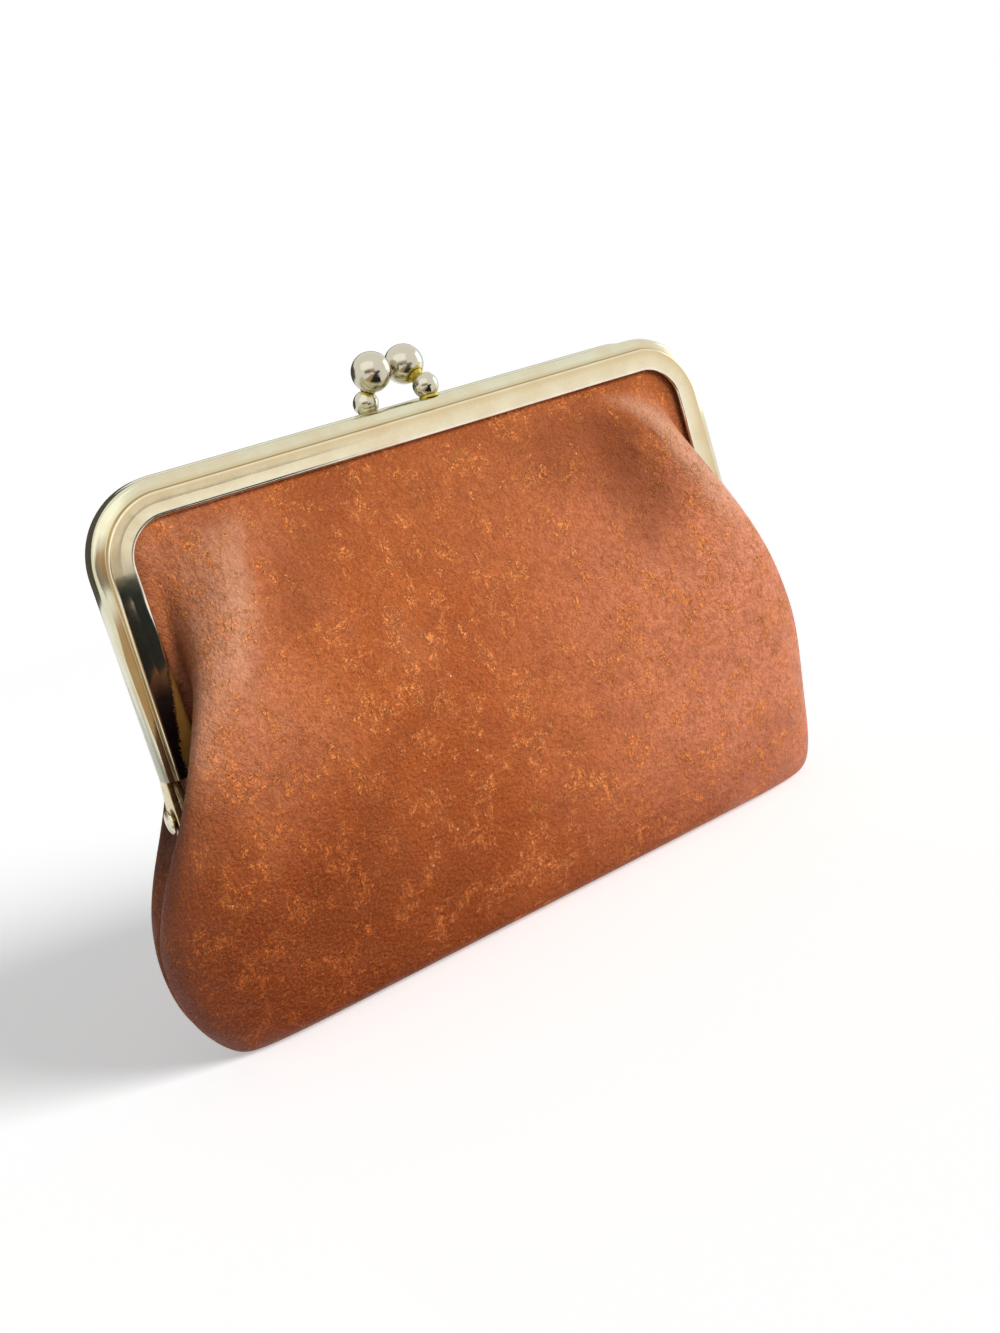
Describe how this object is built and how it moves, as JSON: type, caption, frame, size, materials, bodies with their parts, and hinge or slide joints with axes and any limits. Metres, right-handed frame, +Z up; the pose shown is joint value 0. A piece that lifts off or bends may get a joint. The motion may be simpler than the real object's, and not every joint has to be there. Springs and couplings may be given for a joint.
{
  "type": "coin purse",
  "caption": "Leather coin purse on a hinged metal mouth frame, shut by a kiss lock of crossing ball knobs.",
  "frame": {"origin": "middle of the flat underside, on the floor", "axes": "+X to the right across the frame as seen from the front, +Y to the back, +Z up through the clasp. The front faces -Y."},
  "size_m": [0.1086, 0.0228, 0.0806],
  "materials": {
    "leather": "oiled vegetable-tanned leather with fine creases and lighter flecks",
    "lining": "thin matt cloth lining",
    "frame_plate": "warm polished plating, worn through to yellow at the lip",
    "knob_plate": "mirror-polished plating",
    "paper_cord": "twisted paper"
  },
  "bodies": {
    "pouch": {"front_panel": "leather", "back_panel": "leather", "front_lining": "lining", "back_lining": "lining", "left_hinge_rivet": "frame_plate", "right_hinge_rivet": "frame_plate"},
    "front_half": {"front_frame": "frame_plate", "front_clasp_post": "knob_plate", "front_clasp_ball": "knob_plate", "front_filler_cord": "paper_cord"},
    "back_half": {"back_frame": "frame_plate", "back_clasp_post": "knob_plate", "back_clasp_ball": "knob_plate", "back_filler_cord": "paper_cord"}
  },
  "joints": [
    {"name": "front_open", "type": "hinge", "parent": "pouch", "child": "front_half", "pos_m": [0, 0, 0.0315], "axis": [1, 0, 0], "range_deg": [0, 50], "deforming": ["front_panel", "front_lining"]},
    {"name": "back_open", "type": "hinge", "parent": "pouch", "child": "back_half", "pos_m": [0, 0, 0.0315], "axis": [-1, 0, 0], "range_deg": [0, 50], "deforming": ["back_panel", "back_lining"]}
  ],
  "couplings": [
    {"joint": "back_open", "follows": "front_open", "ratio": 1}
  ]
}
